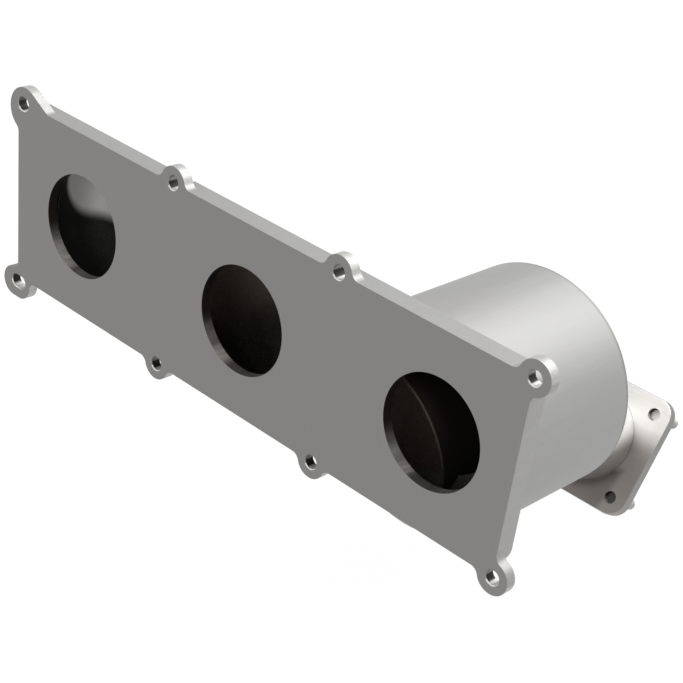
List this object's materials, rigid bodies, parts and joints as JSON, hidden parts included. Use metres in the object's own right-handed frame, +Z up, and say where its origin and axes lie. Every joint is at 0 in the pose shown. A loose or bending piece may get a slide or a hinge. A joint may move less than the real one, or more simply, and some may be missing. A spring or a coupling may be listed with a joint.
{
  "type": "catalytic converter",
  "caption": "Close-coupled catalytic converter: a long flange with round ports and bolt ears, a collector, a drum-shaped can and an angled outlet flange with studs.",
  "frame": {"origin": "centre of the middle port on the flange's engine face", "axes": "+X along the row of ports towards the can, +Y away from the engine, +Z up, square to both"},
  "size_m": [0.3246, 0.2539, 0.1926],
  "materials": {
    "flange_steel": "smooth flat steel, light where it faces up",
    "pressed_steel": "bare pressed sheet, darkened by heat inside",
    "can_steel": "bright sheet with fine streaks round the can",
    "outlet_flange_steel": "smooth machined plate",
    "liner_steel": "thin sheet browned by heat",
    "mesh_steel": "knitted wire pressed into a ring",
    "boss_steel": "turned steel",
    "stud_steel": "rolled threads",
    "weld_steel": "rippled weld metal with a heat tint",
    "ceramic_brick": "fine square honeycomb, matt",
    "fibre_mat": "felted ceramic fibre"
  },
  "bodies": {
    "root": {"engine_flange": "flange_steel", "collector_housing": "pressed_steel", "can_shell": "can_steel", "outlet_neck": "pressed_steel", "outlet_flange": "outlet_flange_steel", "inlet_liner": "liner_steel", "outlet_cone": "pressed_steel", "outlet_cone_liner": "liner_steel", "mesh_ring_front": "mesh_steel", "mesh_ring_rear": "mesh_steel", "sensor_boss_front": "boss_steel", "sensor_boss_rear": "boss_steel", "support_bracket": "pressed_steel", "outlet_studs": "stud_steel", "weld_housing": "weld_steel", "weld_can_front": "weld_steel", "weld_can_rear": "weld_steel", "weld_neck": "weld_steel", "weld_outlet": "weld_steel", "substrate": "ceramic_brick", "mat": "fibre_mat"}
  },
  "joints": []
}
